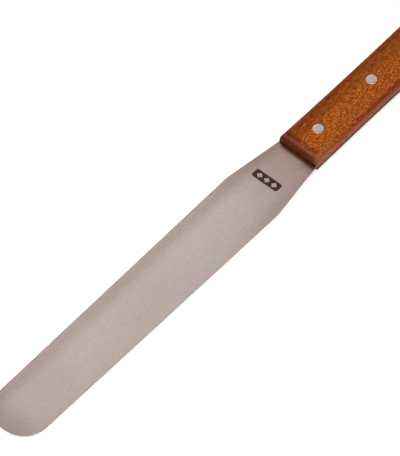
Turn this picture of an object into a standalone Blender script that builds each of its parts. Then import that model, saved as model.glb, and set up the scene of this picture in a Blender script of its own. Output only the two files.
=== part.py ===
"""Palette knife with a long flexible steel blade and a riveted wooden handle.

The blade and its tang are one stamped sheet.  Two wooden scales lie on the tang,
flush with its edges, and three cutler's rivets of two halves each hold them.

Frame, in metres: +X runs from the butt of the handle to the tip of the blade,
+Y is across the blade and +Z is up.  The origin is under the middle of the whole
length, on the surface that the underside of the handle rests on.
"""

import math

import bmesh
import bpy

MM = 0.001

# Lengths along X
BLADE_LENGTH = 254.0 * MM
HANDLE_LENGTH = 127.0 * MM
TIP_X = (BLADE_LENGTH + HANDLE_LENGTH) / 2
BUTT_X = -TIP_X
HANDLE_FRONT_X = BUTT_X + HANDLE_LENGTH

# Blade, seen from above
SHOULDER_LENGTH = 39.3 * MM  # handle front to where the blade is widest
SHOULDER_WIDTH = 39.1 * MM
SHOULDER_RADIUS = 30.0 * MM  # rounds the corner between shoulder and edge
TIP_WIDTH = 36.9 * MM  # where the round tip starts
TIP_CURVE_LENGTH = 18.9 * MM
TIP_FULLNESS = 2.43  # exponent of the tip's curve; 2 would be an ellipse
TIP_STEPS = 16

# Blade, seen from the side
TANG_THICKNESS = 1.1 * MM
TIP_THICKNESS = 0.7 * MM

# Handle, seen from above
HANDLE_END_WIDTH = 27.6 * MM
HANDLE_WAIST_WIDTH = 26.5 * MM
BUTT_CORNER_RADIUS = 10.0 * MM
SIDE_STEPS = 12
CORNER_STEPS = 8

# Handle, seen from the side
SCALE_THICKNESS = 5.4 * MM
SCALE_EDGE_RADIUS = 3.2 * MM
NOSE_LENGTH = 5.5 * MM  # how far back the rounded front end reaches
NOSE_FOOT = 0.3 * MM  # upright part at the foot of the front end
ARC_STEPS = 6
CLEARANCE = 0.3 * MM  # between pieces that touch on the real knife
TANG_Z = SCALE_THICKNESS + CLEARANCE + TANG_THICKNESS / 2
HANDLE_THICKNESS = 2 * TANG_Z

# Rivets
RIVETS = ("front", "middle", "rear")
FIRST_RIVET_SETBACK = 17.9 * MM  # behind the handle front
RIVET_PITCH = 46.4 * MM
HEAD_RADIUS = 3.45 * MM
HEAD_THICKNESS = 1.2 * MM
HEAD_CHAMFER = 0.2 * MM
HEAD_RECESS = 0.05 * MM  # below the wood, so that the handle rests on wood
TUBE_RADIUS = 2.1 * MM
TUBE_BORE_RADIUS = 1.45 * MM
POST_RADIUS = 1.15 * MM
POST_END_Z = 2.5 * MM
ROUND_STEPS = 24

OVERSHOOT = 2.0 * MM  # how far cutters reach past what they cut
MERGE_DISTANCE = 0.001 * MM


# ---------------------------------------------------------------- outlines

def handle_half_width(x):
    """Half the handle's width: an even curve with its waist halfway along."""
    middle = BUTT_X + HANDLE_LENGTH / 2
    from_middle = (x - middle) / (HANDLE_LENGTH / 2)
    flare = (HANDLE_END_WIDTH - HANDLE_WAIST_WIDTH) * from_middle ** 2
    return (HANDLE_WAIST_WIDTH + flare) / 2


def butt_corner():
    """Points of the rounded corner at the butt, from the end to the side."""
    radius = BUTT_CORNER_RADIUS
    centre_x = BUTT_X + radius
    centre_y = handle_half_width(centre_x) - radius
    points = []
    for step in range(CORNER_STEPS + 1):
        angle = math.pi / 2 * step / CORNER_STEPS
        x = centre_x - radius * math.cos(angle)
        points.append((x, centre_y + radius * math.sin(angle)))
    return points


def handle_side(front_x):
    """Points of the handle's side, from the butt's corner to front_x."""
    start_x = BUTT_X + BUTT_CORNER_RADIUS
    points = []
    for step in range(1, SIDE_STEPS + 1):
        x = start_x + (front_x - start_x) * step / SIDE_STEPS
        points.append((x, handle_half_width(x)))
    return points


def shoulder_corner():
    """Points of the arc where the tapered shoulder meets the blade's edge."""
    corner_x = HANDLE_FRONT_X + SHOULDER_LENGTH
    corner_y = SHOULDER_WIDTH / 2
    edge_length = TIP_X - TIP_CURVE_LENGTH - corner_x
    edge_angle = math.atan((TIP_WIDTH - SHOULDER_WIDTH) / 2 / edge_length)
    shoulder_rise = (SHOULDER_WIDTH - HANDLE_END_WIDTH) / 2
    shoulder_angle = math.atan(shoulder_rise / SHOULDER_LENGTH)
    turn = shoulder_angle - edge_angle
    setback = SHOULDER_RADIUS * math.tan(turn / 2)
    start_x = corner_x - setback * math.cos(shoulder_angle)
    start_y = corner_y - setback * math.sin(shoulder_angle)
    centre_x = start_x + SHOULDER_RADIUS * math.sin(shoulder_angle)
    centre_y = start_y - SHOULDER_RADIUS * math.cos(shoulder_angle)
    points = []
    for step in range(ARC_STEPS + 1):
        angle = shoulder_angle - turn * step / ARC_STEPS
        x = centre_x - SHOULDER_RADIUS * math.sin(angle)
        points.append((x, centre_y + SHOULDER_RADIUS * math.cos(angle)))
    return points


def tip_curve():
    """Points of the blade's blunt round tip, from its edge to the very tip."""
    start_x = TIP_X - TIP_CURVE_LENGTH
    power = 2 / TIP_FULLNESS
    points = []
    for step in range(TIP_STEPS + 1):
        angle = math.pi / 2 * step / TIP_STEPS
        x = start_x + TIP_CURVE_LENGTH * math.sin(angle) ** power
        half_width = TIP_WIDTH / 2 * max(math.cos(angle), 0.0) ** power
        points.append((x, half_width))
    points[-1] = (TIP_X, 0.0)
    return points


def blade_outline():
    """One side of the blade and tang, from the butt to the tip."""
    tang = butt_corner() + handle_side(HANDLE_FRONT_X)
    return tang + shoulder_corner() + tip_curve()


def blade_half_thickness(x):
    """Even along the tang, then thinner all the way to the tip."""
    forward = max(x - HANDLE_FRONT_X, 0.0) / BLADE_LENGTH
    return (TANG_THICKNESS + (TIP_THICKNESS - TANG_THICKNESS) * forward) / 2


# ---------------------------------------------------------------- mesh tools

def clear_scene():
    for item in list(bpy.data.objects):
        bpy.data.objects.remove(item, do_unlink=True)


def finished_mesh(name, builder):
    """Merge stray doubles, face everything outwards and store the mesh."""
    bmesh.ops.remove_doubles(builder, verts=builder.verts, dist=MERGE_DISTANCE)
    bmesh.ops.recalc_face_normals(builder, faces=builder.faces)
    mesh = bpy.data.meshes.new(name)
    builder.to_mesh(mesh)
    builder.free()
    mesh.shade_smooth()
    mesh.set_sharp_from_angle(angle=math.radians(25))
    return mesh


def add_object(name, mesh, material=None):
    item = bpy.data.objects.new(name, mesh)
    bpy.context.scene.collection.objects.link(item)
    if material:
        mesh.materials.append(material)
    return item


def add_cutter(name, mesh, owner):
    """A hidden shape that only shapes its owner, placed with it."""
    cutter = add_object(name, mesh)
    cutter.hide_render = True
    cutter.display_type = "WIRE"
    cutter.parent = owner
    return cutter


def shape_with(owner, cutter, operation):
    modifier = owner.modifiers.new(cutter.name, "BOOLEAN")
    modifier.operation = operation
    modifier.solver = "EXACT"
    modifier.object = cutter


def skin_rings(builder, rings):
    """Join rings of equal point counts with quads, and close both ends."""
    loops = [[builder.verts.new(point) for point in ring] for ring in rings]
    count = len(loops[0])
    for lower, upper in zip(loops, loops[1:]):
        for i in range(count):
            j = (i + 1) % count
            builder.faces.new((lower[i], lower[j], upper[j], upper[i]))
    builder.faces.new(reversed(loops[0]))
    builder.faces.new(loops[-1])


def turned_solid(builder, profile, centre_x):
    """Turn a profile of (radius, z) points about the upright axis at centre_x."""
    start = [builder.verts.new((centre_x + radius, 0, z)) for radius, z in profile]
    edges = [builder.edges.new(pair) for pair in zip(start, start[1:])]
    bmesh.ops.spin(
        builder,
        geom=start + edges,
        cent=(centre_x, 0, 0),
        axis=(0, 0, 1),
        angle=2 * math.pi,
        steps=ROUND_STEPS,
        use_merge=True,
    )


# ---------------------------------------------------------------- materials

def plain_material(name, colour, roughness, metallic):
    material = bpy.data.materials.new(name)
    material.use_nodes = True
    shader = material.node_tree.nodes["Principled BSDF"]
    shader.inputs["Base Color"].default_value = (*colour, 1.0)
    shader.inputs["Roughness"].default_value = roughness
    shader.inputs["Metallic"].default_value = metallic
    material.diffuse_color = (*colour, 1.0)
    return material


def blade_steel():
    return plain_material("blade_steel", (0.50, 0.42, 0.39), 0.35, 1.0)


def handle_wood():
    return plain_material("handle_wood", (0.33, 0.090, 0.020), 0.42, 0.0)


def rivet_metal():
    return plain_material("rivet_metal", (0.62, 0.58, 0.56), 0.32, 1.0)


# ---------------------------------------------------------------- rivets

def rivet_positions():
    """Where each rivet stands along X, by its name."""
    first = HANDLE_FRONT_X - FIRST_RIVET_SETBACK
    return {name: first - RIVET_PITCH * i for i, name in enumerate(RIVETS)}


def male_half(name, x, material):
    """Upper half: a flush head with a solid post that fills the tube."""
    top = HANDLE_THICKNESS - HEAD_RECESS
    under_head = top - HEAD_THICKNESS
    profile = (
        (0, POST_END_Z),
        (POST_RADIUS, POST_END_Z),
        (POST_RADIUS, under_head),
        (HEAD_RADIUS, under_head),
        (HEAD_RADIUS, top - HEAD_CHAMFER),
        (HEAD_RADIUS - HEAD_CHAMFER, top),
        (0, top),
    )
    builder = bmesh.new()
    turned_solid(builder, profile, x)
    add_object(name, finished_mesh(name, builder), material)


def female_half(name, x, material):
    """Lower half: a flush head with a tube that is open at its top."""
    bottom = HEAD_RECESS
    over_head = bottom + HEAD_THICKNESS
    tube_end = HANDLE_THICKNESS - HEAD_RECESS - HEAD_THICKNESS - CLEARANCE
    profile = (
        (0, bottom),
        (HEAD_RADIUS - HEAD_CHAMFER, bottom),
        (HEAD_RADIUS, bottom + HEAD_CHAMFER),
        (HEAD_RADIUS, over_head),
        (TUBE_RADIUS, over_head),
        (TUBE_RADIUS, tube_end),
        (TUBE_BORE_RADIUS, tube_end),
        (TUBE_BORE_RADIUS, over_head),
        (0, over_head),
    )
    builder = bmesh.new()
    turned_solid(builder, profile, x)
    add_object(name, finished_mesh(name, builder), material)


def rivet_hole_mesh(name, counterbored):
    """Holes for all rivets, about a seam at z = 0, with room for the heads."""
    hole_radius = TUBE_RADIUS + CLEARANCE
    outside = SCALE_THICKNESS + OVERSHOOT
    if counterbored:
        seat = SCALE_THICKNESS - HEAD_RECESS - HEAD_THICKNESS - CLEARANCE
        profile = (
            (0, -OVERSHOOT),
            (hole_radius, -OVERSHOOT),
            (hole_radius, seat),
            (HEAD_RADIUS + CLEARANCE, seat),
            (HEAD_RADIUS + CLEARANCE, outside),
            (0, outside),
        )
    else:
        profile = (
            (0, -OVERSHOOT),
            (hole_radius, -OVERSHOOT),
            (hole_radius, OVERSHOOT),
            (0, OVERSHOOT),
        )
    builder = bmesh.new()
    for x in rivet_positions().values():
        turned_solid(builder, profile, x)
    return finished_mesh(name, builder)


# ---------------------------------------------------------------- blade

def blade_mesh():
    """Blade and tang as one closed strip of cross-sections along X."""
    builder = bmesh.new()
    rings = []
    for x, half_width in blade_outline():
        half = blade_half_thickness(x)
        rings.append((
            (x, -half_width, -half),
            (x, half_width, -half),
            (x, half_width, half),
            (x, -half_width, half),
        ))
    skin_rings(builder, rings)
    return finished_mesh("blade", builder)


def add_blade(material):
    blade = add_object("blade", blade_mesh(), material)
    blade.location.z = TANG_Z
    holes = add_cutter("blade_rivet_holes", rivet_hole_mesh("blade_rivet_holes", False), blade)
    shape_with(blade, holes, "DIFFERENCE")


# ---------------------------------------------------------------- handle

def scale_ring(inset, z):
    """The scale's outline at one height, moved inwards by inset."""
    front_x = HANDLE_FRONT_X + OVERSHOOT
    radius = BUTT_CORNER_RADIUS
    centre_x = BUTT_X + radius
    centre_y = handle_half_width(centre_x) - radius
    shrink = (radius - inset) / radius
    side = []
    for x, y in butt_corner():
        side.append((centre_x + (x - centre_x) * shrink, centre_y + (y - centre_y) * shrink))
    for x, y in handle_side(front_x):
        side.append((x, y - inset))
    ring = [(x, y, z) for x, y in side]
    ring += [(x, -y, z) for x, y in reversed(side)]
    return ring


def scale_blank_mesh(name):
    """A scale with its long edges and butt rounded over, seam at z = 0."""
    rings = [scale_ring(0.0, 0.0)]
    round_start = SCALE_THICKNESS - SCALE_EDGE_RADIUS
    for step in range(ARC_STEPS + 1):
        angle = math.pi / 2 * step / ARC_STEPS
        inset = SCALE_EDGE_RADIUS * (1 - math.cos(angle))
        rings.append(scale_ring(inset, round_start + SCALE_EDGE_RADIUS * math.sin(angle)))
    builder = bmesh.new()
    skin_rings(builder, rings)
    return finished_mesh(name, builder)


def nose_profile():
    """Side view of the space a scale may fill, with its front end rounded."""
    rise = SCALE_THICKNESS - NOSE_FOOT
    shoulder_x = HANDLE_FRONT_X - NOSE_LENGTH
    arc_steps = 2 * ARC_STEPS
    points = [(BUTT_X - OVERSHOOT, -OVERSHOOT), (HANDLE_FRONT_X, -OVERSHOOT)]
    for step in range(arc_steps + 1):
        angle = math.pi / 2 * step / arc_steps
        x = shoulder_x + NOSE_LENGTH * math.cos(angle)
        points.append((x, NOSE_FOOT + rise * math.sin(angle)))
    top = SCALE_THICKNESS + OVERSHOOT
    points[-1] = (shoulder_x, top)
    points.insert(-1, (shoulder_x, SCALE_THICKNESS))
    points.append((BUTT_X - OVERSHOOT, top))
    return points


def nose_mesh(name):
    """The nose profile carried across the whole handle."""
    reach = HANDLE_END_WIDTH / 2 + OVERSHOOT
    profile = nose_profile()
    rings = [[(x, y, z) for x, z in profile] for y in (-reach, reach)]
    builder = bmesh.new()
    skin_rings(builder, rings)
    return finished_mesh(name, builder)


def add_scale(name, seam_z, turned_over, material):
    scale = add_object(name, scale_blank_mesh(name), material)
    scale.location.z = seam_z
    scale.rotation_euler.x = math.pi if turned_over else 0.0
    nose = add_cutter(name + "_nose", nose_mesh(name + "_nose"), scale)
    shape_with(scale, nose, "INTERSECT")
    holes_name = name + "_rivet_holes"
    holes = add_cutter(holes_name, rivet_hole_mesh(holes_name, True), scale)
    shape_with(scale, holes, "DIFFERENCE")


# ---------------------------------------------------------------- assembly

def build():
    clear_scene()
    wood = handle_wood()
    metal = rivet_metal()
    add_blade(blade_steel())
    seam_offset = TANG_THICKNESS / 2 + CLEARANCE
    add_scale("scale_upper", TANG_Z + seam_offset, False, wood)
    add_scale("scale_lower", TANG_Z - seam_offset, True, wood)
    for name, x in rivet_positions().items():
        male_half(f"rivet_{name}_male", x, metal)
        female_half(f"rivet_{name}_female", x, metal)


build()
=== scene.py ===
"""Looks of the palette knife: satin blade, stained wooden scales, flush rivets.

Finer meshes stand for the CAD solids, in the same places.  Lengths are metres, in
the frame's axes: +X to the blade's tip, +Y across the blade, +Z up.
"""

import math

import bmesh
import bpy
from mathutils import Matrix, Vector


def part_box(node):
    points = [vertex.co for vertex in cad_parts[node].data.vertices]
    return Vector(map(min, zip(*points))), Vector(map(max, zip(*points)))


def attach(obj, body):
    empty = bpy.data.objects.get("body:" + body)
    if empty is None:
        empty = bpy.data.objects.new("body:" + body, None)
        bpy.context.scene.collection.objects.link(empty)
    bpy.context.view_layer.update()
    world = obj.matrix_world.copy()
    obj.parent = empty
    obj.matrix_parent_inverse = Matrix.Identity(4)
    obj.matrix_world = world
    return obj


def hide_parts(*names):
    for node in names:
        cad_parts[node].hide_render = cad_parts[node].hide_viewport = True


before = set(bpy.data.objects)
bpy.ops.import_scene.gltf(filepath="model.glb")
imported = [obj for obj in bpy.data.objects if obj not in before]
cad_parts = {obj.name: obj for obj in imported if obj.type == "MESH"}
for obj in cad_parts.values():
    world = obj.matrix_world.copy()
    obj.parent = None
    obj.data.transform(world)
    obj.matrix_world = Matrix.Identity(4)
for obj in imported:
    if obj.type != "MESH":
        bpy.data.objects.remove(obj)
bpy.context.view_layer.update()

MM = 0.001
ACROSS_STEPS = 6  # across the blade's and the scales' flat faces

# ---------------------------------------------------------------- sizes from the frame

blade_low, blade_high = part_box("blade")
upper_low, upper_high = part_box("scale_upper")

BUTT_X = upper_low.x
HANDLE_FRONT_X = upper_high.x
HANDLE_LENGTH = HANDLE_FRONT_X - BUTT_X
HANDLE_END_WIDTH = upper_high.y - upper_low.y
TIP_X = blade_high.x
BLADE_LENGTH = TIP_X - HANDLE_FRONT_X
SHOULDER_WIDTH = blade_high.y - blade_low.y
TANG_THICKNESS = blade_high.z - blade_low.z
BLADE_Z = (blade_high.z + blade_low.z) / 2
HANDLE_TOP_Z = upper_high.z
RIVET_NAMES = ("front", "middle", "rear")

# ---------------------------------------------------------------- the blade's own sizes

SHOULDER_LENGTH = 39.3 * MM
SHOULDER_RADIUS = 30.0 * MM
TIP_WIDTH = 36.9 * MM
TIP_CURVE_LENGTH = 18.9 * MM
TIP_FULLNESS = 2.43
TIP_THICKNESS = 0.7 * MM
BLADE_EDGE_RADIUS = 0.24 * MM
TANG_EDGE_RADIUS = 0.06 * MM
EDGE_BLEND = 2.0 * MM  # how far in front of the handle the edge softens
BLADE_SHARP_ANGLE = 50  # degrees; a sharper bend than this is shaded as an edge
EDGE_STEPS = 5
TANG_SIDE_STEPS = 24
NECK_STEPS = 8
SHOULDER_STEPS = 12
LONG_EDGE_STEPS = 24
TIP_STEPS = 64

# ---------------------------------------------------------- the handle's own sizes

HANDLE_WAIST_WIDTH = 26.5 * MM
BUTT_CORNER_RADIUS = 10.0 * MM
SCALE_EDGE_RADIUS = 3.2 * MM
NOSE_LENGTH = 5.5 * MM
NOSE_FOOT = 0.3 * MM
SEAM_GAP = 0.02 * MM
OUTER_GAP = 0.005 * MM  # keeps the handle's faces inside the CAD box
SEAM_BREAK = 0.10 * MM
SCALE_SHARP_ANGLE = 28
BUTT_STEPS = 24
SCALE_SIDE_STEPS = 40
UPRIGHT_STEPS = 4
ARC_STEPS = 20
FOOT_STEPS = 12

# ---------------------------------------------------------------- the rivets' own sizes

HEAD_GAP = 0.06 * MM
HEAD_EDGE = 0.22 * MM
HEAD_DOME = 0.05 * MM
HEAD_DIMPLE_RADIUS = 1.3 * MM
# (share of the dimple's radius, share of the dome's height)
HEAD_DIMPLE = ((0.0, -0.6), (0.45, -0.5), (0.8, -0.15), (1.0, 0.0))
HEAD_THICKNESS = 1.2 * MM
TUBE_RADIUS = 2.1 * MM
TUBE_BORE_RADIUS = 1.45 * MM
POST_RADIUS = 1.35 * MM
HOLE_RIM = 0.08 * MM
HOLE_REACH = 1.0 * MM  # how far a cutter stands out of the wood
RIVET_SHARP_ANGLE = 40
HEAD_STEPS = 8
TURN_STEPS = 96

# ---------------------------------------------------------------- the etched mark

MARK_X = HANDLE_FRONT_X + 25.7 * MM
MARK_Y = -1.0 * MM
MARK_HALF_LENGTH = 3.0 * MM  # along the blade
MARK_HALF_WIDTH = 9.4 * MM  # across the blade
MARK_CORNER = 1.6 * MM
MARK_SOFTNESS = 0.12 * MM
DIAMOND_PITCH = 5.4 * MM
DIAMOND_HALF_LENGTH = 1.9 * MM
DIAMOND_HALF_WIDTH = 2.1 * MM


# ---------------------------------------------------------------- outlines

def handle_half_width(x):
    middle = BUTT_X + HANDLE_LENGTH / 2
    from_middle = (x - middle) / (HANDLE_LENGTH / 2)
    flare = (HANDLE_END_WIDTH - HANDLE_WAIST_WIDTH) * from_middle ** 2
    return (HANDLE_WAIST_WIDTH + flare) / 2


def even_steps(start, end, count):
    """count values from start to end, without start itself."""
    return [start + (end - start) * i / count for i in range(1, count + 1)]


def butt_outline():
    """From the side of the butt's flat end, round its corner."""
    radius = BUTT_CORNER_RADIUS
    centre_x = BUTT_X + radius
    centre_y = handle_half_width(centre_x) - radius
    points = [(BUTT_X, centre_y)]
    for angle in even_steps(0.0, math.pi / 2, BUTT_STEPS):
        x = centre_x - radius * math.cos(angle)
        points.append((x, centre_y + radius * math.sin(angle)))
    return points


def side_outline(end_x, count):
    start_x = BUTT_X + BUTT_CORNER_RADIUS
    return [(x, handle_half_width(x)) for x in even_steps(start_x, end_x, count)]


def shoulder_outline():
    """The arc where the tapered shoulder meets the blade's long edge."""
    corner_x = HANDLE_FRONT_X + SHOULDER_LENGTH
    edge_length = TIP_X - TIP_CURVE_LENGTH - corner_x
    edge_angle = math.atan((TIP_WIDTH - SHOULDER_WIDTH) / 2 / edge_length)
    rise = (SHOULDER_WIDTH - HANDLE_END_WIDTH) / 2
    shoulder_angle = math.atan(rise / SHOULDER_LENGTH)
    turn = shoulder_angle - edge_angle
    setback = SHOULDER_RADIUS * math.tan(turn / 2)
    start_x = corner_x - setback * math.cos(shoulder_angle)
    start_y = SHOULDER_WIDTH / 2 - setback * math.sin(shoulder_angle)
    centre_x = start_x + SHOULDER_RADIUS * math.sin(shoulder_angle)
    centre_y = start_y - SHOULDER_RADIUS * math.cos(shoulder_angle)
    points = []
    for share in even_steps(-1 / SHOULDER_STEPS, 1.0, SHOULDER_STEPS + 1):
        angle = shoulder_angle - turn * share
        x = centre_x - SHOULDER_RADIUS * math.sin(angle)
        points.append((x, centre_y + SHOULDER_RADIUS * math.cos(angle)))
    return points


def straight_outline(start, end, count):
    xs = even_steps(start[0], end[0], count)
    ys = even_steps(start[1], end[1], count)
    return list(zip(xs, ys))


def tip_outline():
    power = 2 / TIP_FULLNESS
    start_x = TIP_X - TIP_CURVE_LENGTH
    points = []
    for angle in even_steps(0.0, math.pi / 2, TIP_STEPS):
        x = start_x + TIP_CURVE_LENGTH * math.sin(angle) ** power
        points.append((x, TIP_WIDTH / 2 * max(math.cos(angle), 0.0) ** power))
    points[-1] = (TIP_X, 0.0)
    return points


def blade_outline():
    tang = butt_outline() + side_outline(HANDLE_FRONT_X, TANG_SIDE_STEPS)
    shoulder = shoulder_outline()
    tip_start = (TIP_X - TIP_CURVE_LENGTH, TIP_WIDTH / 2)
    neck = straight_outline(tang[-1], shoulder[0], NECK_STEPS)[:-1]
    edge = straight_outline(shoulder[-1], tip_start, LONG_EDGE_STEPS)
    return tang + neck + shoulder + edge + tip_outline()


def inward_normals(points, closes_at_end):
    """Unit vectors into the shape, for one side's outline from butt to front."""
    last = len(points) - 1
    normals = []
    for i in range(len(points)):
        before = points[max(i - 1, 0)]
        after = points[min(i + 1, last)]
        along = Vector((after[0] - before[0], after[1] - before[1])).normalized()
        if i == 0:
            along = Vector((0.0, 1.0))
        if i == last:
            along = Vector((0.0, -1.0)) if closes_at_end else Vector((1.0, 0.0))
        normals.append((along.y, -along.x))
    return normals


# ---------------------------------------------------------------- mesh tools

WELD_DISTANCE = 0.0005 * MM


def finished_mesh(name, builder):
    bmesh.ops.remove_doubles(builder, verts=builder.verts, dist=WELD_DISTANCE)
    bmesh.ops.dissolve_degenerate(builder, edges=builder.edges, dist=WELD_DISTANCE)
    bmesh.ops.recalc_face_normals(builder, faces=builder.faces)
    mesh = bpy.data.meshes.new(name)
    builder.to_mesh(mesh)
    builder.free()
    return mesh


def add_object(name, mesh):
    item = bpy.data.objects.new(name, mesh)
    bpy.context.scene.collection.objects.link(item)
    return item


def skin_loops(builder, loops, split=()):
    """Join closed loops of equal length.  split holds the quads that are cut
    corner to corner: (row, i) one way and (row, -i) the other."""
    rows = [[builder.verts.new(point) for point in loop] for loop in loops]
    count = len(rows[0])
    for row in range(len(rows) - 1):
        for i in range(count):
            j = (i + 1) % count
            near, far = rows[row], rows[row + 1]
            if (row, i) in split:
                builder.faces.new((near[i], near[j], far[i]))
                builder.faces.new((near[j], far[j], far[i]))
            elif (row, -i) in split:
                builder.faces.new((near[i], near[j], far[j]))
                builder.faces.new((near[i], far[j], far[i]))
            else:
                builder.faces.new((near[i], near[j], far[j], far[i]))
    return rows


def mirrored_loop(chain):
    """A closed loop from one side's chain of points, its mirror image, and the
    points that cross over the top and under the bottom between them."""
    other = [(x, -y, z) for x, y, z in reversed(chain)]
    top = straight_between(chain[-1], other[0], ACROSS_STEPS)
    bottom = straight_between(other[-1], chain[0], ACROSS_STEPS)
    return chain + top + other + bottom


def straight_between(start, end, count):
    """The points between start and end that divide the way into count steps."""
    points = []
    for i in range(1, count):
        share = i / count
        points.append(tuple(a + (b - a) * share for a, b in zip(start, end)))
    return points


def close_butt(builder, loop):
    """Face the flat end between the two sides of a mirrored loop, in strips."""
    between_sides = ACROSS_STEPS - 1
    count = len(loop) // 2 - between_sides
    last = len(loop) - 1 - between_sides
    for i in range(count - 1):
        top = loop[count:count + between_sides] if i == count - 2 else []
        bottom = loop[last + 1:] if i == 0 else []
        strip = [loop[i], loop[i + 1]] + top + [loop[last - i - 1], loop[last - i]]
        builder.faces.new(strip + bottom)


def turned_mesh(name, profile, centre_x):
    builder = bmesh.new()
    start = [builder.verts.new((centre_x + radius, 0, z)) for radius, z in profile]
    edges = [builder.edges.new(pair) for pair in zip(start, start[1:])]
    bmesh.ops.spin(
        builder, geom=start + edges, cent=(centre_x, 0, 0), axis=(0, 0, 1),
        angle=2 * math.pi, steps=TURN_STEPS, use_merge=True,
    )
    return finished_mesh(name, builder)


def cut_holes(item, profile):
    """Turn the profile at each rivet and take it out of the item."""
    builder = bmesh.new()
    for x in rivet_positions():
        hole = turned_mesh("hole", profile, x)
        builder.from_mesh(hole)
        bpy.data.meshes.remove(hole)
    cutter = add_object(item.name + "_cutter", finished_mesh("cutter", builder))
    modifier = item.modifiers.new("holes", "BOOLEAN")
    modifier.object = cutter
    modifier.operation = "DIFFERENCE"
    modifier.solver = "EXACT"
    settle(item)
    bpy.data.objects.remove(cutter)


def settle(item):
    """Apply the item's modifiers and weld the points they leave side by side."""
    graph = bpy.context.evaluated_depsgraph_get()
    mesh = bpy.data.meshes.new_from_object(item.evaluated_get(graph))
    item.modifiers.clear()
    builder = bmesh.new()
    builder.from_mesh(mesh)
    bmesh.ops.remove_doubles(builder, verts=builder.verts, dist=WELD_DISTANCE)
    builder.to_mesh(mesh)
    builder.free()
    item.data = mesh


def shade(item, sharp_angle):
    item.data.shade_smooth()
    item.data.set_sharp_from_angle(angle=math.radians(sharp_angle))
    item.modifiers.new("even_shading", "WEIGHTED_NORMAL").keep_sharp = True


def place(item, node, material):
    """Let the item stand for a CAD node, on the one body of the knife."""
    item.data.materials.clear()
    item.data.materials.append(material)
    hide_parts(node)
    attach(item, "root")


# ---------------------------------------------------------------- rivets

def rivet_positions():
    positions = []
    for name in RIVET_NAMES:
        low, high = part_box(f"rivet_{name}_male")
        positions.append((low.x + high.x) / 2)
    return positions


def head_profile(node):
    """A head's outer face and rim, from its middle outwards, and its radius.
    Heights are measured from the CAD head's face."""
    low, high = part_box(node)
    radius = (high.x - low.x) / 2
    points = [(r * HEAD_DIMPLE_RADIUS, z * HEAD_DOME) for r, z in HEAD_DIMPLE]
    flat = radius - HEAD_EDGE
    for share in even_steps(0.0, 1.0, HEAD_STEPS):
        r = HEAD_DIMPLE_RADIUS + (flat - HEAD_DIMPLE_RADIUS) * share
        points.append((r, -HEAD_DOME * share ** 2))
    for angle in even_steps(0.0, math.pi / 2, HEAD_STEPS):
        r = flat + HEAD_EDGE * math.sin(angle)
        points.append((r, -HEAD_DOME - HEAD_EDGE * (1 - math.cos(angle))))
    return points, radius


def place_rivet_half(node, profile, centre_x, material):
    item = add_object(node + "_fine", turned_mesh(node + "_fine", profile, centre_x))
    shade(item, RIVET_SHARP_ANGLE)
    place(item, node, material)


def make_male_half(name, centre_x, material):
    node = f"rivet_{name}_male"
    low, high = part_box(node)
    face, radius = head_profile(node)
    profile = [(r, high.z + z) for r, z in face]
    profile.append((radius, high.z - HEAD_THICKNESS))
    profile.append((POST_RADIUS, high.z - HEAD_THICKNESS))
    profile.append((POST_RADIUS, low.z + HEAD_EDGE))
    profile.append((POST_RADIUS - HEAD_EDGE, low.z))
    profile.append((0.0, low.z))
    place_rivet_half(node, profile, centre_x, material)


def make_female_half(name, centre_x, material):
    node = f"rivet_{name}_female"
    low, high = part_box(node)
    face, radius = head_profile(node)
    over_head = low.z + HEAD_THICKNESS
    profile = [(r, low.z - z) for r, z in face]
    profile.append((radius, over_head))
    profile.append((TUBE_RADIUS, over_head))
    profile.append((TUBE_RADIUS, high.z))
    profile.append((TUBE_BORE_RADIUS, high.z))
    profile.append((TUBE_BORE_RADIUS, over_head))
    profile.append((0.0, over_head))
    place_rivet_half(node, profile, centre_x, material)


# ---------------------------------------------------------------- blade

def blade_half_thickness(x):
    forward = max(x - HANDLE_FRONT_X, 0.0) / BLADE_LENGTH
    return (TANG_THICKNESS + (TIP_THICKNESS - TANG_THICKNESS) * forward) / 2


def blade_edge_radius(x):
    """Crisp where the tang lies flush in the handle, softer on the bare blade."""
    share = min(max((x - HANDLE_FRONT_X) / EDGE_BLEND, 0.0), 1.0)
    return TANG_EDGE_RADIUS + (BLADE_EDGE_RADIUS - TANG_EDGE_RADIUS) * share


def blade_chain(x, y, normal):
    """The blade's edge at one station, from its underside round to its top."""
    half = blade_half_thickness(x)
    radius = blade_edge_radius(x)
    chain = []
    for side in (-1, 1):
        angles = [math.pi / 2 * i / EDGE_STEPS for i in range(EDGE_STEPS + 1)]
        if side < 0:
            angles.reverse()
        for angle in angles:
            inset = radius * (1 - math.cos(angle))
            z = side * (half - radius + radius * math.sin(angle))
            point = (x + normal[0] * inset, y + normal[1] * inset, BLADE_Z + z)
            chain.append(point)
    return chain


def make_blade(material):
    outline = blade_outline()
    normals = inward_normals(outline, closes_at_end=True)
    loops = []
    for (x, y), normal in zip(outline, normals):
        loops.append(mirrored_loop(blade_chain(x, y, normal)))
    builder = bmesh.new()
    rows = skin_loops(builder, loops)
    close_butt(builder, rows[0])
    blade = add_object("blade_fine", finished_mesh("blade_fine", builder))
    reach = 2 * TANG_THICKNESS
    radius = TUBE_RADIUS + HEAD_GAP
    cut_holes(blade, (
        (0.0, BLADE_Z - reach), (radius, BLADE_Z - reach),
        (radius, BLADE_Z + reach), (0.0, BLADE_Z + reach),
    ))
    shade(blade, BLADE_SHARP_ANGLE)
    place(blade, "blade", material)


# ---------------------------------------------------------------- scales

SCALE_HEIGHT = HANDLE_TOP_Z - BLADE_Z - TANG_THICKNESS / 2 - SEAM_GAP - OUTER_GAP
ROUND_START = SCALE_HEIGHT - SCALE_EDGE_RADIUS


def scale_z(side, height):
    """Where a height above the scale's seam lies; side is as in scale_mesh."""
    return BLADE_Z + side * (TANG_THICKNESS / 2 + SEAM_GAP + height)


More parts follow.
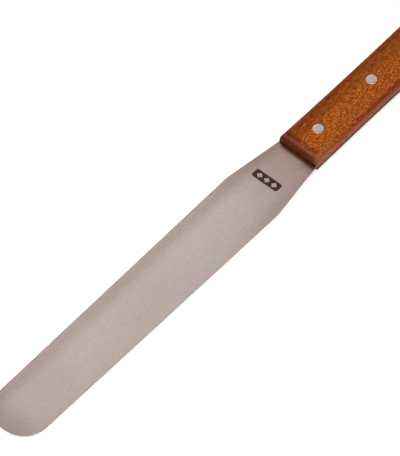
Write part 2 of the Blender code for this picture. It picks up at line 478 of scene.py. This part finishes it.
def arc_heights():
    """Heights of the long edge's rounding, from the upright side to the top."""
    angles = [math.pi / 2 * i / ARC_STEPS for i in range(ARC_STEPS + 1)]
    return [ROUND_START + SCALE_EDGE_RADIUS * math.sin(angle) for angle in angles]


def nose_stations():
    """(x, height) along the rounded front end, from its top down to its foot.
    One station stands at each height of the long edge's rounding, so that the
    crease between the two roundings runs from corner to corner of the quads."""
    rise = SCALE_HEIGHT - NOSE_FOOT
    shoulder_x = HANDLE_FRONT_X - NOSE_LENGTH
    foot_angle = math.asin((ROUND_START - NOSE_FOOT) / rise)
    heights = list(reversed(arc_heights()))
    for angle in even_steps(foot_angle, 0.0, FOOT_STEPS):
        heights.append(NOSE_FOOT + rise * math.sin(angle))
    stations = []
    for height in heights:
        share = min((height - NOSE_FOOT) / rise, 1.0)
        stations.append((shoulder_x + NOSE_LENGTH * math.sqrt(1 - share ** 2), height))
    return stations


def scale_chain(x, y, normal, limit):
    """The scale's side at one station: seam, upright side, rounding.  No point
    is higher than limit, the height of the front end there."""
    side_top = min(ROUND_START, limit)
    chain = [(SEAM_BREAK, 0.0), (0.0, SEAM_BREAK)]
    for i in range(1, UPRIGHT_STEPS):
        chain.append((0.0, SEAM_BREAK + (side_top - SEAM_BREAK) * i / UPRIGHT_STEPS))
    for i, height in enumerate(arc_heights()):
        angle = math.pi / 2 * i / ARC_STEPS
        inset = SCALE_EDGE_RADIUS * (1 - math.cos(angle))
        chain.append((inset, min(height, limit)))
    return [(x + normal[0] * d, y + normal[1] * d, z) for d, z in chain]


def scale_mesh(name, side):
    """side is 1 for the upper scale and -1 for the lower, its mirror image."""
    stations = nose_stations()
    outline = butt_outline() + side_outline(stations[0][0], SCALE_SIDE_STEPS)
    limits = [SCALE_HEIGHT] * len(outline)
    crease_row = len(outline) - 1
    for x, height in stations[1:]:
        outline.append((x, handle_half_width(x)))
        limits.append(height)
    normals = inward_normals(outline, closes_at_end=False)
    loops = []
    for (x, y), normal, limit in zip(outline, normals, limits):
        loop = mirrored_loop(scale_chain(x, y, normal, limit))
        loops.append([(px, py, scale_z(side, pz)) for px, py, pz in loop])
    builder = bmesh.new()
    rows = skin_loops(builder, loops, split=crease_quads(crease_row))
    close_butt(builder, rows[0])
    builder.faces.new(rows[-1])
    return finished_mesh(name, builder)


def crease_quads(first_row):
    """The quads that the crease crosses: from the top of the rounding down, one
    more step along the nose for each step down the side."""
    first_arc = 1 + UPRIGHT_STEPS
    chain_length = first_arc + ARC_STEPS + 1
    mirror_start = chain_length + ACROSS_STEPS - 1
    quads = set()
    for step in range(ARC_STEPS):
        arc = first_arc + ARC_STEPS - 1 - step
        quads.add((first_row + step, arc))
        mirror = mirror_start + (chain_length - 1 - arc) - 1
        quads.add((first_row + step, -mirror))
    return quads


def hole_profile(side):
    """A rivet hole with a seat for the head, open to the outside."""
    low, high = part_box("rivet_front_male")
    head_radius = (high.x - low.x) / 2 + HEAD_GAP
    seat = SCALE_HEIGHT - HEAD_THICKNESS - 3 * HEAD_GAP
    heights = (
        (0.0, -HOLE_REACH),
        (TUBE_RADIUS + HEAD_GAP, -HOLE_REACH),
        (TUBE_RADIUS + HEAD_GAP, seat),
        (head_radius, seat),
        (head_radius, SCALE_HEIGHT - HOLE_RIM),
        (head_radius + HOLE_RIM, SCALE_HEIGHT),
        (head_radius + HOLE_RIM, SCALE_HEIGHT + HOLE_REACH),
        (0.0, SCALE_HEIGHT + HOLE_REACH),
    )
    return [(r, scale_z(side, z)) for r, z in heights]


def make_scale(node, side, material):
    scale = add_object(node + "_fine", scale_mesh(node + "_fine", side))
    cut_holes(scale, hole_profile(side))
    shade(scale, SCALE_SHARP_ANGLE)
    place(scale, node, material)


# ---------------------------------------------------------------- shader tools

def new_material(name):
    material = bpy.data.materials.new(name)
    material.use_nodes = True
    tree = material.node_tree
    return material, tree, tree.nodes["Principled BSDF"]


def add_node(tree, kind, inputs=None, **settings):
    node = tree.nodes.new("ShaderNode" + kind)
    for key, value in settings.items():
        setattr(node, key, value)
    for key, value in (inputs or {}).items():
        socket = node.inputs[key]
        if isinstance(value, bpy.types.NodeSocket):
            tree.links.new(value, socket)
        else:
            socket.default_value = value
    return node


def calc(tree, operation, first, second=0.0, third=0.0):
    node = add_node(tree, "Math", {0: first, 1: second, 2: third}, operation=operation)
    return node.outputs[0]


def fade(tree, value, low, high):
    """0 below low, 1 above high, and smooth between; low may be the larger."""
    node = add_node(
        tree, "MapRange", {0: value, 1: low, 2: high}, interpolation_type="SMOOTHSTEP"
    )
    return node.outputs[0]


def between(tree, value, low, high):
    """Map 0..1 to low..high."""
    node = add_node(tree, "MapRange", {0: value, 3: low, 4: high})
    return node.outputs[0]


def noise(tree, place_socket, scale, detail=2.0, roughness=0.5, seed=0.0):
    """Noise with its own number of cells per metre along each axis."""
    moved = add_node(tree, "Mapping", {
        "Vector": place_socket, "Scale": scale, "Location": (seed,) * 3,
    })
    node = add_node(tree, "TexNoise", {
        "Vector": moved.outputs[0], "Scale": 1.0, "Detail": detail,
        "Roughness": roughness,
    })
    return node.outputs[0]


def mix_colour(tree, share, first, second, blend="MIX"):
    node = add_node(
        tree, "Mix", {0: share, 6: first, 7: second}, data_type="RGBA", blend_type=blend
    )
    return node.outputs[2]


def colour_ramp(tree, share, stops):
    node = add_node(tree, "ValToRGB", {0: share})
    elements = node.color_ramp.elements
    while len(elements) < len(stops):
        elements.new(0.5)
    for element, (position, colour) in zip(elements, stops):
        element.position = position
        element.color = (*colour, 1.0)
    return node.outputs[0]


def set_inputs(tree, shader, values):
    for key, value in values.items():
        if isinstance(value, bpy.types.NodeSocket):
            tree.links.new(value, shader.inputs[key])
        else:
            shader.inputs[key].default_value = value


def object_place(tree):
    """Where a point lies in the frame, in metres, and its parts."""
    coordinates = add_node(tree, "TexCoord")
    parts = add_node(tree, "SeparateXYZ", {0: coordinates.outputs["Object"]})
    facing = add_node(tree, "SeparateXYZ", {0: coordinates.outputs["Normal"]})
    return coordinates.outputs["Object"], parts.outputs, facing.outputs


def bump(tree, height, distance, strength):
    node = add_node(
        tree, "Bump", {"Height": height, "Distance": distance, "Strength": strength}
    )
    return node.outputs[0]


def ahead(distance):
    """The x that lies this many millimetres in front of the handle."""
    return HANDLE_FRONT_X + distance * MM


def product(tree, *values):
    """The product of the values."""
    total = values[0]
    for value in values[1:]:
        total = calc(tree, "MULTIPLY", total, value)
    return total


def weighted(tree, *pairs):
    """The sum of value times weight over the pairs."""
    total = calc(tree, "MULTIPLY", pairs[0][0], pairs[0][1])
    for value, weight in pairs[1:]:
        total = calc(tree, "MULTIPLY_ADD", value, weight, total)
    return total


def tinted(tree, colour, zones):
    """The colour multiplied by each zone's tint, as far as the zone reaches."""
    for zone, tint in zones:
        colour = mix_colour(tree, zone, colour, (*tint, 1.0), "MULTIPLY")
    return colour


def covered(tree, colour, layers):
    """The colour under each layer's paint: (where, how strongly, paint)."""
    for zone, strength, paint in layers:
        share = product(tree, zone, strength)
        colour = mix_colour(tree, share, colour, (*paint, 1.0))
    return colour


def across_tangent(tree):
    """The direction that the grinding spreads reflections along."""
    return add_node(tree, "CombineXYZ", {0: 0.0, 1: 1.0, 2: 0.0}).outputs[0]


# ---------------------------------------------------------------- blade steel

# noise cells per metre, along, across and through the knife
STEEL_LINES = (9, 1300, 30)
STEEL_SCRATCHES = (240, 3400, 400)
STEEL_MOTTLE = (750, 900, 400)
STEEL_SMUDGES = (22, 50, 30)
MARK_WEAR = (900, 900, 30)
STEEL_COLOURS = (
    (0.38, (0.505, 0.412, 0.376)),
    (0.62, (0.615, 0.520, 0.484)),
)
# painted dark red-brown shade for the tang's edge between the scales
TANG_EDGE_SHADE = (0.260, 0.095, 0.045)
MARK_COLOUR = (0.085, 0.055, 0.043, 1.0)


def mark_bar(tree, along, across):
    """1 inside a bar with rounded corners, from the distances to its middle."""
    beyond_a = calc(tree, "SUBTRACT", along, MARK_HALF_LENGTH - MARK_CORNER)
    beyond_b = calc(tree, "SUBTRACT", across, MARK_HALF_WIDTH - MARK_CORNER)
    outer_a = calc(tree, "MAXIMUM", beyond_a, 0.0)
    outer_b = calc(tree, "MAXIMUM", beyond_b, 0.0)
    squares = calc(
        tree, "ADD", product(tree, outer_a, outer_a), product(tree, outer_b, outer_b)
    )
    inside = calc(tree, "MINIMUM", calc(tree, "MAXIMUM", beyond_a, beyond_b), 0.0)
    reach = calc(tree, "ADD", calc(tree, "SQRT", squares), inside)
    edge = calc(tree, "SUBTRACT", reach, MARK_CORNER)
    return fade(tree, edge, MARK_SOFTNESS, -MARK_SOFTNESS)


def mark_diamonds(tree, along, from_middle):
    """1 inside the nearest of three diamonds in a row."""
    turns = calc(tree, "ROUND", calc(tree, "DIVIDE", from_middle, DIAMOND_PITCH))
    turns = calc(tree, "MAXIMUM", calc(tree, "MINIMUM", turns, 1.0), -1.0)
    nearest = product(tree, turns, DIAMOND_PITCH)
    from_diamond = calc(
        tree, "ABSOLUTE", calc(tree, "SUBTRACT", from_middle, nearest)
    )
    size = calc(
        tree, "ADD", calc(tree, "DIVIDE", along, DIAMOND_HALF_LENGTH),
        calc(tree, "DIVIDE", from_diamond, DIAMOND_HALF_WIDTH),
    )
    return fade(tree, size, 1.05, 0.9)


def mark_masks(tree, x, y):
    """The etched mark: a dark rounded bar across the blade with a row of plain
    diamonds left bright.  Returns the share of dark etching."""
    from_middle = calc(tree, "SUBTRACT", y, MARK_Y)
    along = calc(tree, "ABSOLUTE", calc(tree, "SUBTRACT", x, MARK_X))
    across = calc(tree, "ABSOLUTE", from_middle)
    bar = mark_bar(tree, along, across)
    diamonds = mark_diamonds(tree, along, from_middle)
    return product(tree, bar, calc(tree, "SUBTRACT", 1.0, diamonds))


def blade_zones(tree, x, y):
    """Where the steel is darker than elsewhere, and its tint there: painted shade,
    the handle's painted shadow and warm painted reflection, and a darker tip.
    """
    # painted shade: the steel darker towards the -Y edge
    shaded_side = fade(tree, y, -6.0 * MM, -16.0 * MM)
    # the steel darker over the last 22 mm towards the tip
    darker_tip = fade(tree, x, TIP_X - 22.0 * MM, TIP_X + 2.0 * MM)
    # painted warm reflection of the wooden handle, over the 50 mm of steel in front of
    # it
    warm_reflection = fade(tree, x, ahead(50.0), ahead(6.0))
    # painted shade along both long edges, over the first 110 mm in front of the handle
    shaded_edges = product(
        tree, fade(tree, calc(tree, "ABSOLUTE", y), 8.0 * MM, 17.0 * MM),
        fade(tree, x, ahead(110.0), ahead(40.0)),
    )
    # painted shadow of the handle's front end on the blade: a dark band close in front
    # of it and a softer one further out, drawn in towards the handle beyond the -Y
    # corner
    past_corner = calc(tree, "MAXIMUM", calc(tree, "SUBTRACT", -10.0 * MM, y), 0.0)
    from_handle = calc(tree, "MULTIPLY_ADD", past_corner, 0.7, x)
    nose_shadow = fade(tree, from_handle, ahead(3.9), ahead(2.1))
    soft_nose_shadow = fade(tree, from_handle, ahead(6.2), ahead(2.8))
    # painted shadow in front of the handle, on its +Y side
    corner_shadow = product(
        tree, fade(tree, x, ahead(9.0), ahead(3.0)),
        fade(tree, y, 3.5 * MM, 9.0 * MM),
    )
    return (
        (shaded_side, (0.80, 0.77, 0.75)),
        (darker_tip, (0.74, 0.71, 0.70)),
        (warm_reflection, (1.0, 0.90, 0.86)),
        (shaded_edges, (0.93, 0.91, 0.90)),
        (corner_shadow, (0.78, 0.75, 0.75)),
        (soft_nose_shadow, (0.88, 0.78, 0.72)),
        (nose_shadow, (0.67, 0.48, 0.37)),
    )


def painted_sheen(tree, x):
    """Painted reflection: how much brighter the steel is towards either end of the
    blade.
    """
    towards_handle = fade(tree, x, ahead(95.0), ahead(30.0))
    towards_tip = fade(tree, x, ahead(110.0), ahead(200.0))
    return weighted(
        tree, (between(tree, towards_handle, 0.96, 1.10), 1.0), (towards_tip, 0.125)
    )


def shaded_tang_edge(tree, x, facing_up):
    """1 on the tang's upright edge, where it shows between the scales; painted shade
    there.
    """
    return product(
        tree, fade(tree, x, ahead(0.4), ahead(-0.4)),
        fade(tree, calc(tree, "ABSOLUTE", facing_up), 0.8, 0.3),
    )


def make_blade_steel():
    material, tree, shader = new_material("blade_steel_brushed")
    place_socket, (x, y, _), facing = object_place(tree)
    lines = noise(tree, place_socket, STEEL_LINES, 3.0, 0.6)
    scratches = noise(tree, place_socket, STEEL_SCRATCHES, 3.0, 0.6, seed=4.0)
    mottle = noise(tree, place_socket, STEEL_MOTTLE, 3.0, 0.6, seed=6.0)
    smudges = noise(tree, place_socket, STEEL_SMUDGES, 3.0, 0.55, seed=9.0)
    grain = weighted(
        tree, (lines, 0.09), (scratches, 0.32), (mottle, 0.43), (smudges, 0.16)
    )
    steel = colour_ramp(tree, grain, STEEL_COLOURS)
    steel = tinted(tree, steel, blade_zones(tree, x, y))
    # painted reflection: the steel brighter towards either end of the blade
    steel = add_node(
        tree, "VectorMath", {0: steel, "Scale": painted_sheen(tree, x)},
        operation="SCALE",
    ).outputs[0]
    # painted shade on the tang's edge between the scales
    edge = shaded_tang_edge(tree, x, facing[2])
    steel = covered(tree, steel, ((edge, 0.95, TANG_EDGE_SHADE),))
    wear = noise(tree, place_socket, MARK_WEAR, 2.0, 0.6, seed=2.0)
    etched = product(
        tree, mark_masks(tree, x, y), fade(tree, facing[2], 0.5, 0.9),
        between(tree, fade(tree, wear, 0.2, 0.5), 0.82, 1.0),
    )
    roughness = weighted(
        tree, (between(tree, grain, 0.26, 0.44), 1.0),
        (between(tree, smudges, -0.04, 0.05), 1.0), (etched, 0.2),
    )
    relief = weighted(tree, (scratches, 0.6), (mottle, 0.4))
    set_inputs(tree, shader, {
        "Base Color": mix_colour(tree, etched, steel, MARK_COLOUR),
        "Metallic": 1.0,
        "Roughness": roughness,
        "Anisotropic": 0.95,
        "Tangent": across_tangent(tree),
        "Normal": bump(tree, relief, 0.02 * MM, 0.3),
    })
    return material


# ---------------------------------------------------------------- rivet metal

RIVET_SCRATCHES = (250, 5200, 250)
RIVET_PATCHES = (700, 700, 700)
RIVET_COLOURS = (
    (0.30, (0.66, 0.535, 0.505)),
    (0.65, (0.95, 0.785, 0.735)),
)


def rivet_distance(tree, x, y):
    """Distance from the axis of the nearest rivet."""
    positions = rivet_positions()
    pitch = positions[0] - positions[1]
    from_first = calc(tree, "SUBTRACT", x, positions[0])
    turns = calc(tree, "ROUND", calc(tree, "DIVIDE", from_first, pitch))
    dx = calc(tree, "SUBTRACT", from_first, product(tree, turns, pitch))
    squares = calc(tree, "ADD", product(tree, dx, dx), product(tree, y, y))
    return calc(tree, "SQRT", squares)


def rivet_radius():
    low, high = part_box("rivet_front_male")
    return (high.x - low.x) / 2


def make_rivet_metal():
    material, tree, shader = new_material("rivet_metal_ground")
    place_socket, (x, y, _), _ = object_place(tree)
    scratches = noise(tree, place_socket, RIVET_SCRATCHES, 3.0, 0.65)
    patches = noise(tree, place_socket, RIVET_PATCHES, 2.0, 0.5, seed=3.0)
    distance = rivet_distance(tree, x, y)
    radius = rivet_radius()
    middle = fade(tree, distance, 2.6 * MM, 0.8 * MM)
    rim = fade(tree, distance, radius - 1.3 * MM, radius - 0.5 * MM)
    colour = tinted(tree, colour_ramp(tree, scratches, RIVET_COLOURS), (
        (middle, (0.90, 0.95, 0.99)),
        (rim, (1.04, 0.84, 0.72)),
    ))
    roughness = calc(
        tree, "ADD", between(tree, scratches, 0.30, 0.46),
        between(tree, patches, -0.05, 0.05),
    )
    set_inputs(tree, shader, {
        "Base Color": colour,
        "Metallic": 1.0,
        "Anisotropic": 0.8,
        "Tangent": across_tangent(tree),
        "Roughness": roughness,
        "Normal": bump(tree, scratches, 0.02 * MM, 0.35),
    })
    return material


# ---------------------------------------------------------------- handle wood

WOOD_DRIFT = (12, 50, 50)
WOOD_BANDS = (7, 260, 260)
WOOD_STREAKS = (330, 1350, 1350)
WOOD_FLECKS = (850, 1400, 1400)
WOOD_PORES = (330, 3000, 3000)
WOOD_SWAY = 6.0 * MM
WOOD_COLOURS = (
    (0.15, (0.130, 0.021, 0.0010)),
    (0.40, (0.230, 0.046, 0.0032)),
    (0.60, (0.308, 0.072, 0.0068)),
    (0.85, (0.425, 0.130, 0.0250)),
)
DARK_SIDE = -1  # the darker growth lies along this side's edge, in Y


def quarter_round(tree, share, base, rise):
    """Height of a quarter ellipse: base + rise at share 0, base at share 1."""
    square = product(tree, share, share)
    height = calc(tree, "SQRT", calc(tree, "SUBTRACT", 1.0, square))
    return calc(tree, "MULTIPLY_ADD", height, rise, base)


def nose_crease(tree, x, y):
    """1 on the line where the nose's rounding meets the long edge's rounding."""
    edge_y = HANDLE_END_WIDTH / 2
    along = add_node(tree, "MapRange", {
        0: x, 1: HANDLE_FRONT_X - NOSE_LENGTH, 2: HANDLE_FRONT_X,
    }).outputs[0]
    across = add_node(tree, "MapRange", {
        0: calc(tree, "ABSOLUTE", y), 1: edge_y - SCALE_EDGE_RADIUS, 2: edge_y,
    }).outputs[0]
    nose = quarter_round(tree, along, NOSE_FOOT, SCALE_HEIGHT - NOSE_FOOT)
    side = quarter_round(tree, across, ROUND_START, SCALE_EDGE_RADIUS)
    apart = calc(tree, "ABSOLUTE", calc(tree, "SUBTRACT", nose, side))
    in_corner = calc(tree, "MINIMUM", along, across)
    return product(
        tree, fade(tree, in_corner, 0.08, 0.35),
        fade(tree, apart, 0.34 * MM, 0.06 * MM),
    )


def swayed_grain(tree, place_socket, seed):
    """The place to read the grain at, so that it runs in slow waves, and how
    far the grain is moved there."""
    drift = noise(tree, place_socket, WOOD_DRIFT, 2.0, 0.5, seed=seed + 1)
    sway = product(tree, calc(tree, "SUBTRACT", drift, 0.5), WOOD_SWAY)
    shift = add_node(tree, "CombineXYZ", {0: 0.0, 1: sway, 2: sway})
    swayed = add_node(
        tree, "VectorMath", {0: place_socket, 1: shift.outputs[0]}, operation="ADD"
    )
    return swayed.outputs[0], sway


def wood_tone(tree, heart, bands, streaks, flecks):
    """How light the wood is.  Streaks lead in the dark side's growth, and flecks
    in the heart."""
    bands, streaks, flecks = (
        calc(tree, "SUBTRACT", value, 0.5) for value in (bands, streaks, flecks)
    )
    tone = calc(tree, "MULTIPLY_ADD", bands, 0.30, 0.5)
    streak_weight = between(tree, heart, 1.5, 0.8)
    tone = calc(tree, "MULTIPLY_ADD", streaks, streak_weight, tone)
    fleck_weight = between(tree, heart, 1.0, 2.4)
    return calc(tree, "MULTIPLY_ADD", flecks, fleck_weight, tone)


def wood_zones(tree, position, facing, towards_dark, heart):
    """Where the wood is darker than elsewhere, and its tint there: the darker grain,
    then painted shade, with a bluish painted sheen on the front end.
    """
    x, _, z = position
    along_normal = calc(tree, "ABSOLUTE", facing[0])
    across_normal = calc(tree, "ABSOLUTE", facing[1])
    # painted shade on the front end's rounding, with a bluish painted sheen
    front_shade_and_sheen = product(
        tree, fade(tree, x, ahead(-6.6), ahead(-4.2)),
        fade(tree, across_normal, 0.50, 0.25),
    )
    # painted shade on the upper scale's rounded +Y edge, from 22 mm behind the front
    # end
    shaded_red_edge = product(
        tree, fade(tree, towards_dark, -11.0 * MM, -12.6 * MM),
        fade(tree, x, ahead(-22.0), ahead(-60.0)),
        fade(tree, z, BLADE_Z + 1.2 * MM, BLADE_Z + 2.6 * MM),
    )
    # painted shade, darker and redder, on faces that point across the handle
    side_shade = fade(tree, across_normal, 0.40, 0.95)
    from_seam = calc(tree, "ABSOLUTE", calc(tree, "SUBTRACT", z, BLADE_Z))
    # painted shade low on the front end, by the seam
    nose_foot_shade = product(
        tree, fade(tree, from_seam, 3.2 * MM, 1.8 * MM),
        fade(tree, along_normal, 0.50, 0.80),
    )
    # painted shade on the side next to the front end
    front_corner_shade = product(
        tree, fade(tree, x, ahead(-3.6), ahead(-1.0)),
        fade(tree, across_normal, 0.25, 0.60),
    )
    # painted shade on the lower scale's side
    under_side_shade = product(
        tree, fade(tree, z, BLADE_Z - 1.4 * MM, BLADE_Z - 2.6 * MM), side_shade
    )
    return (
        (calc(tree, "SUBTRACT", 1.0, heart), (0.76, 0.74, 0.84)),
        (fade(tree, towards_dark, 7.0 * MM, 10.5 * MM), (0.64, 0.61, 0.68)),
        (front_shade_and_sheen, (0.52, 0.455, 0.63)),
        (shaded_red_edge, (0.72, 0.58, 0.66)),
        (side_shade, (0.84, 0.60, 0.30)),
        # painted shade: the lower scale darker below the seam
        (fade(tree, z, BLADE_Z, BLADE_Z - 1.6 * MM), (0.82, 0.78, 0.90)),
        # painted shade: faces that point down made much darker
        (fade(tree, facing[2], -0.02, -0.30), (0.30, 0.22, 0.28)),
        (under_side_shade, (0.60, 0.46, 0.52)),
        (nose_foot_shade, (0.66, 0.46, 0.30)),
        (front_corner_shade, (0.50, 0.42, 0.36)),
    )


def wood_layers(tree, position, facing, towards_dark, pores):
    """What lies over the wood's own colour: (where, how strongly, paint).  Pores, a
    dark ring round each rivet, end grain dark enough to paint the front end's shade,
    and painted sheen and highlights on the nose, the side and the crease.
    """
    x, y, z = position
    along_normal = calc(tree, "ABSOLUTE", facing[0])
    # painted sheen: a lighter band on the front end's rounding
    nose_sheen = product(
        tree, fade(tree, along_normal, 0.30, 0.50),
        fade(tree, along_normal, 0.82, 0.62),
    )
    # darker end grain, made dark enough to also paint the front end's shade
    end_grain_and_shade = fade(tree, along_normal, 0.56, 0.82)
    # painted sheen: lighter on the upper scale's +Y side, low and near the front end
    side_sheen = product(
        tree, fade(tree, x, ahead(-24.0), ahead(-6.0)),
        fade(tree, towards_dark, -9.5 * MM, -12.5 * MM),
        fade(tree, z, BLADE_Z, BLADE_Z + 2.0 * MM),
    )
    # painted highlight along the crease between the front end's and the side's
    # roundings
    crease_highlight = product(
        tree, nose_crease(tree, x, y),
        fade(tree, towards_dark, 2.0 * MM, -2.0 * MM),
    )
    radius = rivet_radius()
    halo = fade(tree, rivet_distance(tree, x, y), radius + 0.9 * MM, radius)
    return (
        (pores, 0.55, (0.060, 0.013, 0.003)),
        (nose_sheen, 0.15, (0.30, 0.120, 0.085)),
        (end_grain_and_shade, 0.8, (0.056, 0.012, 0.004)),
        (side_sheen, 0.17, (0.36, 0.145, 0.085)),
        (crease_highlight, 0.22, (0.46, 0.205, 0.120)),
        (halo, 0.6, (0.080, 0.020, 0.006)),
    )


def make_handle_wood(name, seed):
    """Stained red-brown wood, its grain along the handle."""
    material, tree, shader = new_material(name)
    place_socket, position, facing = object_place(tree)
    towards_dark = product(tree, position[1], DARK_SIDE)
    swayed, sway = swayed_grain(tree, place_socket, seed)
    edge = calc(tree, "MULTIPLY_ADD", sway, 1.2, towards_dark)
    heart = fade(tree, edge, 5.0 * MM, 0.0)
    bands = noise(tree, swayed, WOOD_BANDS, 3.0, 0.55, seed=seed)
    streaks = noise(tree, swayed, WOOD_STREAKS, 3.0, 0.6, seed=seed + 2)
    flecks = noise(tree, swayed, WOOD_FLECKS, 2.0, 0.6, seed=seed + 3)
    holes = noise(tree, swayed, WOOD_PORES, 1.0, 0.5, seed=seed + 4)
    pores = fade(tree, holes, 0.62, 0.70)
    tone = wood_tone(tree, heart, bands, streaks, flecks)
    wood = colour_ramp(tree, tone, WOOD_COLOURS)
    zones = wood_zones(tree, position, facing, towards_dark, heart)
    layers = wood_layers(tree, position, facing, towards_dark, pores)
    wood = covered(tree, tinted(tree, wood, zones), layers)
    relief = weighted(tree, (streaks, 0.3), (flecks, 0.2), (pores, -0.8))
    roughness = weighted(
        tree, (between(tree, flecks, 0.34, 0.50), 1.0), (pores, 0.15)
    )
    set_inputs(tree, shader, {
        "Base Color": wood,
        "Roughness": roughness,
        "Specular IOR Level": 0.07,
        "Normal": bump(tree, relief, 0.04 * MM, 0.4),
    })
    return material


# ---------------------------------------------------------------- floor

FLOOR_MOTTLE = (3, 3, 3)
FLOOR_COLOURS = ((0.0, (0.90, 0.90, 0.90)), (1.0, (0.93, 0.93, 0.93)))
FLOOR_GLOW = 0.25  # like a table lit from below; it weakens the knife's shadow


def make_floor_white():
    material, tree, shader = new_material("floor_white")
    place_socket, _, _ = object_place(tree)
    mottle = noise(tree, place_socket, FLOOR_MOTTLE, 2.0, 0.5)
    set_inputs(tree, shader, {
        "Base Color": colour_ramp(tree, mottle, FLOOR_COLOURS),
        "Roughness": 0.9,
        "Specular IOR Level": 0.1,
        "Emission Color": (1.0, 1.0, 1.0, 1.0),
        "Emission Strength": FLOOR_GLOW,
    })
    return material


# ---------------------------------------------------------------- stage

VIEW_AZIMUTH = 130.8
VIEW_ELEVATION = 53.9
VIEW_ROLL = 0.26
VIEW_DISTANCE = 10.0
VIEW_HEIGHT = 0.2582  # what the picture's long side spans at the knife
AIM = Vector((12.2 * MM, -7.8 * MM, BLADE_Z))
SENSOR = 36.0
CLIP_START = 0.1
CLIP_END = 40.0
FLOOR_SIZE = 6.0
STUDIO_COLOUR = (1.0, 0.94, 0.90, 1.0)
STUDIO_STRENGTH = 0.14


def direction(azimuth, elevation):
    """From the object towards a viewer or a light; azimuth 0 looks along +Y."""
    a = math.radians(azimuth)
    e = math.radians(elevation)
    return Vector((math.sin(a) * math.cos(e), -math.cos(a) * math.cos(e), math.sin(e)))


def aim_at(item, target):
    item.rotation_euler = (target - item.location).to_track_quat("-Z", "Y").to_euler()


def make_camera():
    data = bpy.data.cameras.new("camera")
    data.sensor_width = SENSOR
    data.lens = SENSOR * VIEW_DISTANCE / VIEW_HEIGHT
    data.clip_start = CLIP_START
    data.clip_end = CLIP_END
    camera = bpy.data.objects.new("camera", data)
    bpy.context.scene.collection.objects.link(camera)
    camera.location = AIM + direction(VIEW_AZIMUTH, VIEW_ELEVATION) * VIEW_DISTANCE
    aim_at(camera, AIM)
    camera.rotation_euler.rotate_axis("Z", math.radians(VIEW_ROLL))
    bpy.context.scene.camera = camera


def add_softbox(name, azimuth, elevation, distance, size, power, target=AIM):
    """A rectangular light; size is (width, height)."""
    data = bpy.data.lights.new(name, "AREA")
    data.shape = "RECTANGLE"
    data.size, data.size_y = size
    data.energy = power
    light = bpy.data.objects.new(name, data)
    bpy.context.scene.collection.objects.link(light)
    light.location = target + direction(azimuth, elevation) * distance
    aim_at(light, target)


def make_lights():
    """The first two stand low behind the knife, across from the camera, and give
    the blade and the handle their sheen.  The others stand on the camera's side."""
    near_tip = Vector((TIP_X - BLADE_LENGTH * 0.21, 0.0, BLADE_Z))
    in_handle = Vector((ahead(-45.0), 0.0, BLADE_Z))
    add_softbox("softbox_key", 330, 27, 0.45, (0.30, 0.17), 0.49, near_tip)
    add_softbox("softbox_wide", 330, 27, 1.2, (0.80, 0.42), 4.2, in_handle)
    add_softbox("softbox_main", 150, 50, 1.4, (0.9, 0.9), 17.6)
    add_softbox("softbox_side", 90, 52, 1.4, (0.9, 0.9), 8.4)
    add_softbox("softbox_front", 59, 42, 1.2, (0.6, 0.6), 2.4)


def make_world():
    world = bpy.data.worlds.new("studio")
    world.use_nodes = True
    background = world.node_tree.nodes["Background"]
    background.inputs["Color"].default_value = STUDIO_COLOUR
    background.inputs["Strength"].default_value = STUDIO_STRENGTH
    bpy.context.scene.world = world


def make_floor():
    builder = bmesh.new()
    bmesh.ops.create_grid(builder, x_segments=4, y_segments=4, size=FLOOR_SIZE)
    floor = add_object("floor", finished_mesh("floor", builder))
    floor.data.materials.append(make_floor_white())


# ---------------------------------------------------------------- everything

def make_knife():
    make_blade(make_blade_steel())
    upper_wood = make_handle_wood("handle_wood_upper", seed=11.0)
    make_scale("scale_upper", 1, upper_wood)
    lower_wood = make_handle_wood("handle_wood_lower", seed=37.0)
    make_scale("scale_lower", -1, lower_wood)
    metal = make_rivet_metal()
    for name, x in zip(RIVET_NAMES, rivet_positions()):
        make_male_half(name, x, metal)
        make_female_half(name, x, metal)


make_knife()
make_floor()
make_world()
make_lights()
make_camera()
bpy.context.scene.view_settings.view_transform = "Standard"
